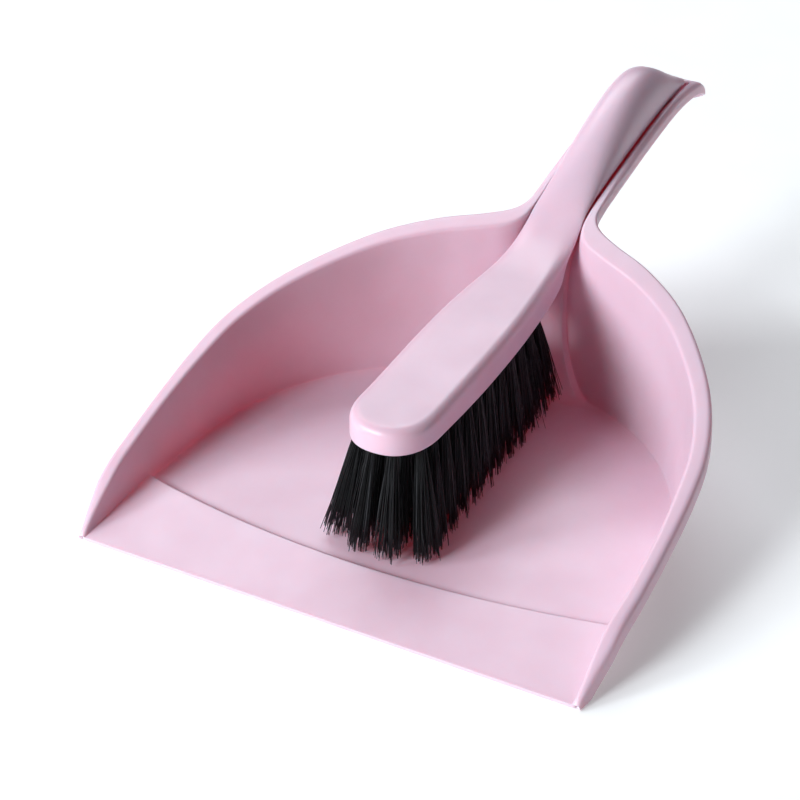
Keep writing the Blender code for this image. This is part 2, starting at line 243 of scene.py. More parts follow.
def divided(line: Line, index: int, parts: int) -> Line:
    """Divides the length that follows a point of a line.

    Args:
        line: The line's points.
        index: Index of the point before the length.
        parts: How many parts the length gets.

    Returns:
        The line with parts - 1 more points.
    """
    here, there = line[index], line[index + 1]
    between = [here + (there - here) * k / parts for k in range(1, parts)]
    return [*line[:index + 1], *between, *line[index + 1:]]


# --------------------------------------------------------------------------------------------------
# Mesh work
# --------------------------------------------------------------------------------------------------


def world(points: np.ndarray) -> np.ndarray:
    """Turns design millimetres into metres of the row frame.

    Args:
        points: Points as an array whose last axis is x, y, z.

    Returns:
        An array of the same shape.
    """
    return np.asarray(points, float) * MM + np.array((0.0, LIP_AT, 0.0))


def deselect() -> None:
    """Leaves object mode with nothing selected."""
    if bpy.context.object is not None and bpy.context.object.mode != "OBJECT":
        bpy.ops.object.mode_set(mode="OBJECT")
    bpy.ops.object.select_all(action="DESELECT")


def activate(piece: bpy.types.Object) -> None:
    """Makes one object the only selected one, and the active one."""
    deselect()
    piece.select_set(True)
    bpy.context.view_layer.objects.active = piece


def named(name: str) -> bpy.types.Object:
    """Names the active object and its mesh, puts its place into its mesh, and returns it."""
    made = bpy.context.object
    bpy.ops.object.transform_apply(location=True, rotation=True, scale=True)
    made.name = name
    made.data.name = name
    return made


def sheet(name: str, rows: list[Line]) -> bpy.types.Object:
    """Shapes a grid into a surface through rows of points.

    Args:
        name: The object's name.
        rows: The rows, in design millimetres, each with the same number of points.

    Returns:
        The new object.
    """
    points = np.array(rows, float)
    along, across = points.shape[:2]
    deselect()
    bpy.ops.mesh.primitive_grid_add(x_subdivisions=across - 1, y_subdivisions=along - 1, size=1.0)
    made = named(name)
    made.data.vertices.foreach_set("co", world(points).astype(np.float32).ravel())
    made.data.update()
    return made


def modify(piece: bpy.types.Object, kind: str, **settings: Any) -> None:
    """Adds a modifier and applies it.

    Args:
        piece: The object to change.
        kind: The modifier's type.
        settings: Its settings by name.
    """
    activate(piece)
    modifier = piece.modifiers.new(kind.lower(), kind)
    for key, value in settings.items():
        setattr(modifier, key, value)
    bpy.ops.object.modifier_apply(modifier=modifier.name)


def whole(piece: bpy.types.Object) -> None:
    """Adds a piece's other half and closes its poles."""
    modify(piece, "MIRROR", use_axis=(True, False, False), use_clip=True, merge_threshold=0.00002)
    bpy.ops.object.mode_set(mode="EDIT")
    bpy.ops.mesh.select_all(action="SELECT")
    bpy.ops.mesh.remove_doubles(threshold=0.00001)
    bpy.ops.mesh.dissolve_degenerate(threshold=0.000001)
    bpy.ops.mesh.normals_make_consistent(inside=False)
    bpy.ops.object.mode_set(mode="OBJECT")


def carve(piece: bpy.types.Object, tool: bpy.types.Object, cut: Cut) -> None:
    """Adds a mesh to a piece or takes it away, and removes that mesh.

    Args:
        piece: The object to change.
        tool: The second mesh.
        cut: What is done with it.
    """
    modify(piece, "BOOLEAN", operation=cut.value, solver="EXACT", object=tool)
    bpy.data.objects.remove(tool, do_unlink=True)


def block(name: str, low: tuple[float, ...], high: tuple[float, ...], edge: float,
          steps: int = 3) -> bpy.types.Object:
    """Makes a block with rounded edges.

    Args:
        name: The object's name.
        low: Its lowest corner, in design millimetres.
        high: Its highest corner.
        edge: How far its edges are rounded.
        steps: How many parts the rounding has.

    Returns:
        The new object.
    """
    corners = world(np.array((low, high)))
    deselect()
    bpy.ops.mesh.primitive_cube_add(size=1.0, location=tuple(corners.mean(0)),
                                    scale=tuple(corners[1] - corners[0]))
    made = named(name)
    bpy.ops.object.mode_set(mode="EDIT")
    bpy.ops.mesh.select_all(action="SELECT")
    bpy.ops.mesh.bevel(offset=edge * MM, segments=steps, affect="EDGES")
    bpy.ops.object.mode_set(mode="OBJECT")
    return made


def smooth(piece: bpy.types.Object, degrees: float) -> None:
    """Shades a piece smooth, apart from edges sharper than an angle."""
    activate(piece)
    bpy.ops.object.shade_smooth_by_angle(angle=math.radians(degrees))


def settle(piece: bpy.types.Object, finish: bpy.types.Material, body: Body, slot: Slot | None,
           *nodes: str) -> None:
    """Dresses a finished piece and ties it to the frame.

    Args:
        piece: The piece.
        finish: Its material.
        body: The body that it rides on.
        slot: Not used.
        nodes: The CAD nodes that it stands for.
    """
    piece.data.materials.clear()
    piece.data.materials.append(finish)
    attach(piece, body.value)
    if nodes:
        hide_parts(*nodes)
    LOG.info("%s: %d faces, rides on %s", piece.name, len(piece.data.polygons), body.value)


# --------------------------------------------------------------------------------------------------
# Finishes
# --------------------------------------------------------------------------------------------------


class Graph:
    """A material's nodes, made and joined one by one."""

    def __init__(self, name: str) -> None:
        """Starts a material that holds one Principled shader.

        Args:
            name: The material's name.
        """
        self.material = bpy.data.materials.new(name)
        self.material.use_nodes = True
        self.tree = self.material.node_tree
        self.shader = self.tree.nodes["Principled BSDF"]

    def node(self, kind: str, inputs: dict[str, Any] | None = None, **settings: Any) -> bpy.types.Node:
        """Adds a node.

        Args:
            kind: The node's type, without its prefix.
            inputs: Its input sockets' values by name, or the output sockets to join them to.
            settings: The node's own settings.

        Returns:
            The node.
        """
        made = self.tree.nodes.new("ShaderNode" + kind)
        for key, value in settings.items():
            setattr(made, key, value)
        for key, value in (inputs or {}).items():
            self.feed(made.inputs[key], value)
        return made

    def feed(self, socket: bpy.types.NodeSocket, value: Any) -> None:
        """Sets an input socket, or joins an output socket to it."""
        if isinstance(value, bpy.types.NodeSocket):
            self.tree.links.new(value, socket)
        else:
            socket.default_value = value

    def place(self, scale: tuple[float, float, float]) -> bpy.types.NodeSocket:
        """Object coordinates, stretched along each axis."""
        plain = self.node("TexCoord").outputs["Object"]
        return self.node("Mapping", {"Vector": plain, "Scale": scale}).outputs["Vector"]

    def noise(self, scale: float, detail: float = 3.0,
              where: bpy.types.NodeSocket | None = None) -> bpy.types.NodeSocket:
        """Adds a noise pattern.

        Args:
            scale: Its scale.
            detail: How many finer layers it has.
            where: Its coordinates, or plain object coordinates.

        Returns:
            Its value.
        """
        vector = where if where is not None else self.place((1.0, 1.0, 1.0))
        made = self.node("TexNoise", {"Vector": vector, "Scale": scale, "Detail": detail})
        return made.outputs["Fac"]

    def ranged(self, value: bpy.types.NodeSocket, low: float, high: float, start: float,
               end: float) -> bpy.types.NodeSocket:
        """Maps values from low..high to start..end, and keeps them there."""
        made = self.node("MapRange", {"Value": value, "From Min": low, "From Max": high, "To Min": start,
                                      "To Max": end})
        return made.outputs["Result"]

    def times(self, one: bpy.types.NodeSocket, other: bpy.types.NodeSocket | float,
              operation: str = "MULTIPLY") -> bpy.types.NodeSocket:
        """Multiplies two values, or does another sum with them."""
        made = self.node("Math", operation=operation)
        self.feed(made.inputs[0], one)
        self.feed(made.inputs[1], other)
        return made.outputs[0]

    def mix(self, share: bpy.types.NodeSocket, first: Any, second: Any) -> bpy.types.NodeSocket:
        """Mixes two colours by a share."""
        made = self.node("Mix", data_type="RGBA")
        for socket, value in zip((made.inputs[0], made.inputs[6], made.inputs[7]), (share, first, second)):
            self.feed(socket, value)
        return made.outputs[2]

    def bump(self, height: bpy.types.NodeSocket, strength: float, distance: float,
             under: bpy.types.NodeSocket | None = None) -> bpy.types.NodeSocket:
        """Adds a bump.

        Args:
            height: The heights.
            strength: Its strength.
            distance: The height, in metres, that a value of 1 stands for.
            under: The normal of the bump below it.

        Returns:
            The normal.
        """
        made = self.node("Bump", {"Height": height, "Strength": strength, "Distance": distance})
        if under is not None:
            self.feed(made.inputs["Normal"], under)
        return made.outputs["Normal"]

    def put(self, name: str, value: Any) -> None:
        """Sets or joins one of the shader's sockets."""
        self.feed(self.shader.inputs[name], value)


@dataclass(frozen=True)
class MouldedPlastic:
    """Satin polypropylene straight from the mould, paler on its convex edges from a little rubbing and a
    painted highlight.
    """

    name: str
    colour: Colour = (0.785, 0.542, 0.650, 1.0)
    deeper: Colour = (0.760, 0.512, 0.618, 1.0)
    # Paler colour for convex edges: partly wear, partly a painted highlight.
    rubbed_and_highlit: Colour = (0.810, 0.640, 0.730, 1.0)
    roughness: float = 0.36
    scratches: float = 0.5
    depth: float = 0.42
    depth_radius: tuple[float, float, float] = (1.0, 0.24, 0.22)
    depth_scale: float = 0.007
    flow_scale: float = 11.0
    cloud_scale: float = 70.0
    grain_scale: float = 2400.0
    wave_scale: float = 38.0
    # Pointiness range that gets the paler edge colour (wear plus painted highlight).
    wear_and_highlight_edges: Pair = (0.515, 0.60)

    def material(self) -> bpy.types.Material:
        """Makes the material.

        Returns:
            The material, with flow marks, fine grain, hair scratches, and convex edges made paler by rubbing
            and a painted highlight.
        """
        graph = Graph(self.name)
        flow = graph.noise(self.flow_scale, 3.0)
        cloud = graph.noise(self.cloud_scale, 4.0)
        share = graph.ranged(graph.times(flow, cloud, "ADD"), 0.75, 1.25, 0.0, 1.0)
        body = graph.mix(share, self.colour, self.deeper)
        # Convex edges are mixed towards the paler colour: partly rubbing, partly a painted highlight along
        # the edges.
        edge = graph.node("NewGeometry").outputs["Pointiness"]
        wear_and_highlight = graph.times(graph.ranged(edge, *self.wear_and_highlight_edges, 0.0, 0.8),
                           graph.ranged(cloud, 0.35, 0.65, 0.35, 1.0))
        graph.put("Base Color", graph.mix(wear_and_highlight, body, self.rubbed_and_highlit))

        lengthwise = graph.noise(1.0, 2.0, graph.place((900.0, 26.0, 500.0)))
        crosswise = graph.noise(1.0, 2.0, graph.place((34.0, 1100.0, 500.0)))
        hairs = graph.times(graph.ranged(lengthwise, 0.66, 0.74, 0.0, 1.0),
                            graph.ranged(crosswise, 0.68, 0.76, 0.0, 0.7), "ADD")
        satin = graph.ranged(cloud, 0.3, 0.7, self.roughness - 0.035, self.roughness + 0.045)
        graph.put("Roughness", graph.times(satin, graph.times(hairs, 0.07 * self.scratches), "ADD"))

        grain = graph.bump(graph.noise(self.grain_scale, 2.0), 0.16, 0.00003)
        waves = graph.bump(graph.noise(self.wave_scale, 2.0), 0.10, 0.0006, grain)
        graph.put("Normal", graph.bump(hairs, -0.10 * self.scratches, 0.00002, waves))
        graph.put("IOR", 1.49)
        graph.put("Specular IOR Level", 0.5)
        graph.put("Subsurface Weight", self.depth)
        graph.put("Subsurface Radius", self.depth_radius)
        graph.put("Subsurface Scale", self.depth_scale)
        return graph.material


@dataclass(frozen=True)
class Nylon:
    """Black drawn nylon, in strands that differ a little."""

    name: str = "bristle_nylon"
    colour: Colour = (0.003, 0.003, 0.0042, 1.0)
    paler: Colour = (0.085, 0.085, 0.095, 1.0)
    roughness: float = 0.32
    strand: str = "strand"

    def material(self) -> bpy.types.Material:
        """Makes the material.

        Returns:
            The material, which reads each strand's own number for its tone.
        """
        graph = Graph(self.name)
        own = graph.node("Attribute", attribute_name=self.strand, attribute_type="GEOMETRY").outputs["Fac"]
        dust = graph.noise(240.0, 3.0)
        tone = graph.times(graph.ranged(own, 0.2, 1.0, 0.0, 0.8), graph.ranged(dust, 0.3, 0.7, 0.4, 1.0))
        graph.put("Base Color", graph.mix(tone, self.colour, self.paler))
        graph.put("Roughness", graph.ranged(own, 0.0, 1.0, self.roughness + 0.12, self.roughness - 0.06))
        drawn = graph.noise(1.0, 2.0, graph.place((3000.0, 3000.0, 160.0)))
        graph.put("Normal", graph.bump(drawn, 0.25, 0.00002))
        graph.put("IOR", 1.53)
        graph.put("Specular IOR Level", 0.32)
        return graph.material


@dataclass(frozen=True)
class SteelWire:
    """Bright flattened wire with faint drawing marks."""

    name: str = "anchor_wire"
    colour: Colour = (0.62, 0.61, 0.60, 1.0)
    duller: Colour = (0.42, 0.41, 0.40, 1.0)
    roughness: float = 0.30

    def material(self) -> bpy.types.Material:
        """Makes the material.

        Returns:
            The material.
        """
        graph = Graph(self.name)
        stain = graph.noise(420.0, 4.0)
        graph.put("Base Color", graph.mix(graph.ranged(stain, 0.4, 0.65, 0.0, 1.0), self.colour, self.duller))
        graph.put("Roughness", graph.ranged(stain, 0.3, 0.7, self.roughness - 0.06, self.roughness + 0.14))
        drawn = graph.noise(1.0, 2.0, graph.place((300.0, 6000.0, 6000.0)))
        graph.put("Normal", graph.bump(drawn, 0.2, 0.00002))
        graph.put("Metallic", 1.0)
        return graph.material


@dataclass(frozen=True)
class StudioPaper:
    """Smooth white paper under the set."""

    name: str = "studio_paper"
    colour: Colour = (0.93, 0.93, 0.935, 1.0)
    shaded: Colour = (0.90, 0.90, 0.91, 1.0)
    glow: float = 0.24

    def material(self) -> bpy.types.Material:
        """Makes the material.

        Returns:
            The material.
        """
        graph = Graph(self.name)
        fibre = graph.noise(30.0, 4.0)
        graph.put("Base Color", graph.mix(graph.ranged(fibre, 0.3, 0.7, 0.0, 1.0), self.colour, self.shaded))
        graph.put("Roughness", 0.85)
        graph.put("Emission Color", (1.0, 1.0, 1.0, 1.0))
        graph.put("Emission Strength", self.glow)
        graph.put("Normal", graph.bump(graph.noise(900.0, 3.0), 0.05, 0.0001))
        return graph.material


# --------------------------------------------------------------------------------------------------
# The set
# --------------------------------------------------------------------------------------------------

RIM = Profile(((0, 2.0), (11, 10.4), (25, 18.9), (42, 24.1), (80, 35.7), (150, 57.1), (206, 74.9),
               (225, 80.0), (245, 84.5), (277, 90.4), (294, 92.6), (309, 93.2), (318, 92.4), (327, 89.2),
               (335, 84.4), (341, 79.5)))
NECK_Y = 206.0


@dataclass
class PanMoulding:
    """The pan: ramp, floor, leaning wall, flanged rim and trough-shaped handle, moulded in one."""

    finish: MouldedPlastic = field(default_factory=lambda: MouldedPlastic("pan_satin_plastic"))
    wall: float = 1.5
    lip_z: float = 1.7
    crest_z: float = 6.8
    floor_z: float = 4.5
    trough_depth: float = 9.2
    trough_half: float = 7.5
    trough_rim_half: float = 12.0
    handle_half: float = 15.4
    trough_rows: tuple[float, ...] = (224, 243, 262, 281, 298)
    wall_curve: tuple[Pair, ...] = ((0, 0), (0.17, 0.003), (0.28, 0.008), (0.315, 0.030), (0.36, 0.082),
                                    (0.56, 0.295), (0.76, 0.6), (1.0, 1.0))
    inner_edge: float = 1.4
    outer_edge: float = 2.6
    tip_edge: float = 8.0
    tip_change: Pair = (320.0, 338.0)
    skirt: float = 6.6
    handle_skirt: float = 5.4
    skirt_change: Pair = (186.0, 216.0)
    skirt_flare: float = 0.3
    skirt_clearance: float = 0.4
    inner_share: float = 0.3
    outer_share: float = 0.62
    skirt_share: float = 0.8
    inner_steps: int = 5
    outer_steps: int = 8
    flange_reach: float = 5.0
    flange_change: Pair = (240.0, 224.0)
    sharp_edge: float = 0.3
    floor_columns: int = 9
    wall_steps: int = 4
    ramp_steps: int = 8
    body_steps: int = 6
    crest_reach: Pair = (1.5, 2.0)
    foot_x: float = 56.0
    foot_y: Pair = (56.0, 140.0)
    foot_width: float = 6.0
    foot_edge: float = 0.7
    foot_overlap: float = 0.5
    gate_y: float = 98.0
    gate_radius: float = 3.2
    gate_height: float = 1.2

    def stations(self) -> Line:
        """Lays out the pan's half sections from the lip to the tip of the handle.

        Returns:
            Rows of spine (y, z), floor edge (x, y, z), inner rim edge (x, y) and outer rim edge (x, y).
        """
        flat, depth, half = self.floor_z, self.trough_depth, self.trough_half
        ramp = [
            (0.0, self.lip_z, 102.2, 0.0, self.lip_z, 103.4, 0.0, 105.5, 0.0),
            (14.6, 4.2, 100.9, 19.0, 4.2, 103.3, 20.0, 109.0, 19.0),
            (29.2, self.crest_z, 98.9, 41.0, self.crest_z, 104.4, 42.0, 110.0, 42.0),
        ]
        body = [
            (31.2, flat, 98.6, 43.2, flat, 104.5, 44.5, 110.0, 44.5),
            (55.0, flat, 98.0, 63.0, flat, 104.4, 64.0, 110.1, 64.0),
            (80.0, flat, 96.6, 86.0, flat, 103.0, 86.0, 109.4, 88.0),
            (106.0, flat, 92.8, 106.5, flat, 100.0, 107.5, 106.6, 109.5),
            (128.0, flat, 84.8, 126.5, flat, 92.2, 128.5, 98.6, 131.5),
            (146.0, flat, 72.5, 145.5, flat, 80.0, 147.5, 85.6, 152.5),
            (159.0, flat, 57.0, 159.5, flat, 63.8, 165.5, 68.0, 172.8),
            (167.0, flat, 40.0, 169.5, flat, 45.4, 178.3, 48.4, 187.0),
            (172.5, 5.6, 25.0, 175.0, 6.0, 28.6, 186.2, 31.0, 195.4),
            (181.0, 20.0, 14.5, 182.0, 23.0, 18.4, 191.6, 20.6, 201.6),
            (189.5, 45.0, 9.4, 191.0, 46.5, 13.4, 198.0, 16.2, 208.0),
            (204.0, 65.2, half, 205.0, 65.2, self.trough_rim_half, 207.5, self.handle_half, 216.5),
        ]
        for y in self.trough_rows:
            bottom = RIM.at(y) - depth
            flange_end = y + self.flange_reach * blend(*self.flange_change, y)
            body.append((y, bottom, half, y, bottom, self.trough_rim_half, y, self.handle_half, flange_end))
        bottom = RIM.at(311) - depth
        body.append((311.0, bottom, half, 311.0, bottom, self.trough_rim_half, 311.5, 15.8, 312.0))
        bottom = RIM.at(319) - depth + 1.0
        body.append((319.2, bottom, 7.0, 319.0, bottom, 11.4, 319.6, 16.0, 323.0))
        bottom = RIM.at(322) - 0.8
        body.append((321.8, bottom, 5.2, 321.6, bottom, 7.6, 322.6, 14.6, 331.0))
        body.append((324.0, RIM.at(324), 3.0, 324.6, RIM.at(324.6), 4.2, 325.6, 9.0, 338.0))
        body.append((325.0, RIM.at(325), 0.0, 326.0, RIM.at(326), 0.0, 327.4, 0.0, LENGTH))
        front = list(np.array(ramp))
        front = divided(divided(front, 1, self.ramp_steps), 0, self.ramp_steps)
        crest = len(front) - 1
        rows = [*front, *smooth_rows(body, self.body_steps)]
        rows = soften(rows, crest + 1, self.crest_reach[1], 4)
        return soften(rows, crest, self.crest_reach[0], 4)

    def section(self, station: np.ndarray) -> Line:
        """Draws one half section, from the middle out to the bottom of the skirt.

        Args:
            station: One of the rows that stations gives.

        Returns:
            The section's points.
        """
        spine_y, spine_z, edge_x, edge_y, edge_z, inner_x, inner_y, outer_x, outer_y = station
        floor = [np.array((edge_x * t, spine_y + (edge_y - spine_y) * t * t,
                           spine_z + (edge_z - spine_z) * t))
                 for t in np.linspace(0, 1, self.floor_columns)]
        top = RIM.fair(inner_y)
        wall = [np.array((edge_x + (inner_x - edge_x) * out, edge_y + (inner_y - edge_y) * out,
                          edge_z + (top - edge_z) * up))
                for out, up in smooth_rows(self.wall_curve, self.wall_steps)]
        inner = wall[-1]
        outer = np.array((outer_x, outer_y, RIM.fair(outer_y)))
        across = outer - inner
        width = float(np.linalg.norm(across[:2]))
        skirt = self.skirt + (self.handle_skirt - self.skirt) * blend(*self.skirt_change, outer_y)
        flare = across / width * self.skirt_flare
        low = np.array((outer_x + flare[0], min(outer_y + flare[1], LENGTH),
                        max(outer[2] - skirt, self.skirt_clearance)))
        roll = self.outer_edge + (self.tip_edge - self.outer_edge) * blend(*self.tip_change, outer_y)
        wall = shortened(wall, self.inner_edge)
        near = inner + across * min(self.inner_edge / width, self.inner_share)
        far = outer - across * min(roll / width, self.outer_share)
        down = outer + (low - outer) * min(roll / float(np.linalg.norm(low - outer)), self.skirt_share)
        line = [*floor[:-1], *wall[:-1], *arc(wall[-1], inner, near, self.inner_steps)]
        line += [near + (far - near) * t for t in (1 / 3, 2 / 3)]
        line += arc(far, outer, down, self.outer_steps)
        return [*line, down + (low - down) / 2, low]

    def feet(self) -> list[bpy.types.Object]:
        """The two low feet under the floor, and the round mark of the mould's gate between them."""
        under = self.floor_z - self.wall
        made = []
        for side in (-1, 1):
            x = side * self.foot_x
            half = self.foot_width / 2
            low, high = (x - half, self.foot_y[0], 0.0), (x + half, self.foot_y[1], under + self.foot_overlap)
            made.append(block(f"foot_{side}", low, high, self.foot_edge))
        deselect()
        bpy.ops.mesh.primitive_cylinder_add(
            vertices=40, radius=self.gate_radius * MM, depth=self.gate_height * MM,
            location=tuple(world(np.array((0.0, self.gate_y, under)))))
        made.append(named("gate_mark"))
        return made

    def build(self) -> bpy.types.Object:
        """Models the pan.

        Returns:
            The finished piece.
        """
        pan = sheet("pan_moulding", [self.section(station) for station in self.stations()])
        whole(pan)
        modify(pan, "SOLIDIFY", thickness=self.wall * MM, offset=-1.0, use_even_offset=True,
               use_quality_normals=True)
        modify(pan, "BEVEL", width=self.sharp_edge * MM, segments=2, limit_method="ANGLE",
               angle_limit=math.radians(50), use_clamp_overlap=True)
        for foot in self.feet():
            carve(pan, foot, Cut.ADD)
        smooth(pan, 35)
        settle(pan, self.finish.material(), Body.PAN, Slot.PAN, "dustpan")
        return pan


@dataclass
class BrushMoulding:
    """The brush's head and handle in one, with a blind hole for each tuft and a hollow under the handle."""

    finish: MouldedPlastic = field(
        default_factory=lambda: MouldedPlastic("brush_satin_plastic", roughness=0.34))
    top: Profile = Profile(((44, 57.9), (73, 58.8), (101, 60.6), (128, 62.3), (151, 63.5), (174, 65.0),
                            (192, 68.8), (211, 79.8), (226, 89.6), (245, 99.6), (258, 104.8), (270, 108.0),
                            (281, 109.0), (291, 107.4), (301, 103.0), (310, 97.6), (318, 93.6)))
    half_width: Profile = Profile(((44, 17.2), (66, 17.2), (128, 17.2), (150, 15.9), (172, 13.8), (190, 12.7),
                                   (208, 11.3), (240, 11.4), (290, 11.4), (318, 11.2)))
    front: float = 44.0
    front_depth: float = 21.0
    front_power: float = 0.87
    front_spine: Pair = (0.72, 1.0)
    front_rows: int = 26
    row_gap: float = 2.0
    tail_start: float = 306.0
    end: float = 318.0
    end_depth: float = 9.0
    end_power: float = 0.5
    end_spine: Pair = (306.0, 309.0)
    end_rows: int = 14
    thickness: float = 12.8
    fillet: float = 4.6
    lower_edge: float = 0.55
    front_lift: float = 2.3
    front_lift_change: Pair = (50.0, 105.0)
    head_end: float = 160.0
    dome_change: Pair = (165.0, 222.0)
    dome_power: float = 2.3
    dome_gap: float = 0.5
    dome_columns: int = 12
    keel_change: Pair = (178.0, 206.0)
    keel_depth: float = 7.6
    keel_half: float = 6.8
    keel_end_inset: float = 0.25
    hole_radius: float = 2.15
    hole_depth: float = 8.0
    drill_start: float = 3.0
    pocket: Pair = (214.0, 300.0)
    pocket_rows: int = 22
    pocket_wall: float = 2.4
    pocket_keel_wall: float = 1.9
    pocket_start: float = 3.0
    slot_y: Pair = (301.6, 307.0)
    slot_z: Pair = (74.0, 114.0)
    slot_half: float = 6.0
    slot_edge: float = 1.6

    def stations(self) -> list[tuple[float, float, float]]:
        """Lays out the half sections from the head's front to the end of the handle.

        Returns:
            Rows of the spine's y and the outline's (x, y).
        """
        rows = []
        near, far = self.front_spine
        head = self.half_width.fair(self.front + self.front_depth)
        for i in range(self.front_rows):
            share = i / self.front_rows
            turn = math.pi / 2 * share
            rows.append((self.front + self.front_depth * (near + (far - near) * share),
                         head * math.sin(turn) ** self.front_power,
                         self.front + self.front_depth * (1 - math.cos(turn) ** self.front_power)))
        start = self.front + self.front_depth
        count = round((self.tail_start - start) / self.row_gap)
        for y in np.linspace(start, self.tail_start, count + 1):
            rows.append((y, self.half_width.fair(y), y))
        near, far = self.end_spine
        tail = self.half_width.fair(self.tail_start)
        for i in range(1, self.end_rows):
            share = i / self.end_rows
            turn = math.pi / 2 * share**1.4
            rows.append((near + (far - near) * share, tail * math.cos(turn) ** self.end_power,
                         self.end - self.end_depth * (1 - math.sin(turn) ** self.end_power)))
        rows.append((far, 0.0, self.end))
        tail_turn = self.end - self.end_depth
        return [(spine, x, max(y, self.tail_start) if spine > self.tail_start and y < tail_turn else y)
                for spine, x, y in rows]

    def bottom(self, y: float) -> float:
        """Height of the brush's underside at a distance from the lip."""
        lift = self.front_lift * (1 - blend(*self.front_lift_change, y))
        head = self.top.fair(min(y, self.head_end)) - self.thickness + lift
        keel = RIM.fair(y) - self.keel_depth
        return head + (keel - head) * blend(self.head_end, NECK_Y, y)

    def section(self, station: tuple[float, float, float]) -> Line:
        """Draws one half section, from the middle of the top round to the middle of the underside.

        Args:
            station: One of the rows that stations gives.

        Returns:
            The section's points.
        """
        spine_y, out_x, out_y = station
        domed = blend(*self.dome_change, out_y)
        reach = math.hypot(out_x, out_y - spine_y)
        fillet = self.fillet + (reach - self.fillet) * domed
        height = max(self.top.fair(out_y) - RIM.fair(out_y) - self.dome_gap, 0.6)
        drop = self.fillet + (height - self.fillet) * domed
        line = []

        def add(inset: float, fall: float) -> None:
            """Adds a point at a distance from the edge, lowered by a share of the drop."""
            t = 1 - inset / reach
            y = spine_y + (out_y - spine_y) * t
            line.append(np.array((out_x * t, y, self.top.fair(y) - drop * fall)))

        for share in np.linspace(0, 1, 5)[:-1]:
            add(reach + (fillet * 1.001 - reach) * share, 0.0)
        for turn in np.linspace(0, math.pi / 2, self.dome_columns + 1):
            power = 2 / self.dome_power
            add(fillet * (1 - math.sin(turn) ** power), 1 - max(math.cos(turn), 0.0) ** power)
        keel = blend(*self.keel_change, out_y)
        narrow = 1 + (self.keel_half / max(out_x, self.keel_half) - 1) * keel
        back = 1 - self.keel_end_inset * keel
        line.append(np.array((out_x * narrow, spine_y + (out_y - spine_y) * back, self.bottom(out_y))))
        corner = len(line) - 1
        line.append(np.array((0.0, spine_y, self.bottom(spine_y))))
        line = divided(line, corner, 4)
        line = divided(line, corner - 1, 3)
        return soften(line, corner + 2, self.lower_edge, 3)

    def drills(self, places: list["Place"]) -> bpy.types.Object:
        """Models the mesh that the blind holes are cut with.

        Args:
            places: The tufts' places.

        Returns:
            One object of all the drills.
        """
        made = []
        for place in places:
            middle = self.bottom(place.root[1]) + (self.hole_depth - self.drill_start) / 2
            deselect()
            bpy.ops.mesh.primitive_cylinder_add(
                vertices=20, radius=self.hole_radius * MM, depth=(self.hole_depth + self.drill_start) * MM,
                location=tuple(world(np.array((*place.root, middle)))))
            made.append(named(f"drill_{place.name}"))
        deselect()
        for drill in made:
            drill.select_set(True)
        bpy.context.view_layer.objects.active = made[0]
        bpy.ops.object.join()
        return made[0]

    def hollow(self) -> bpy.types.Object:
        """The mesh that the hollow under the handle is cut with."""
        rows = []
        for y in np.linspace(*self.pocket, self.pocket_rows):
            rim = RIM.fair(y)
            low = rim - self.keel_depth - self.pocket_start
            top = self.top.fair(y) - self.pocket_wall
            half = self.half_width.fair(y) - self.pocket_wall
            keel = self.keel_half - self.pocket_keel_wall
            rows.append([np.array(p) for p in (
                (0, y, top), (0.42 * half, y, rim + 0.95 * (top - rim)),
                (0.72 * half, y, rim + 0.8 * (top - rim)), (half, y, rim + 0.35 * (top - rim)),
                (half, y, rim), (keel, y, rim - self.keel_depth + 1.0), (keel, y, low), (0, y, low))])
        flat = np.array((0.0, 1.0, 1.0))
        made = sheet("handle_hollow", [[p * flat for p in rows[0]], *rows, [p * flat for p in rows[-1]]])
        whole(made)
        return made

    def build(self, places: list["Place"]) -> bpy.types.Object:
        """Models the brush's moulding.

        Args:
            places: The tufts' places.

        Returns:
            The finished piece.
        """
        brush = sheet("brush_moulding", [self.section(station) for station in self.stations()])
        whole(brush)
        carve(brush, self.drills(places), Cut.REMOVE)
        carve(brush, self.hollow(), Cut.REMOVE)
        slot = block("hanging_slot", (-self.slot_half, self.slot_y[0], self.slot_z[0]),
                     (self.slot_half, self.slot_y[1], self.slot_z[1]), self.slot_edge, 4)
        carve(brush, slot, Cut.REMOVE)
        smooth(brush, 38)
        settle(brush, self.finish.material(), Body.BRUSH, Slot.BRUSH, "brush_block")
        return brush


@dataclass(frozen=True)
class Place:
    """Where one tuft stands."""

    name: str
    root: Pair
    tip: Pair


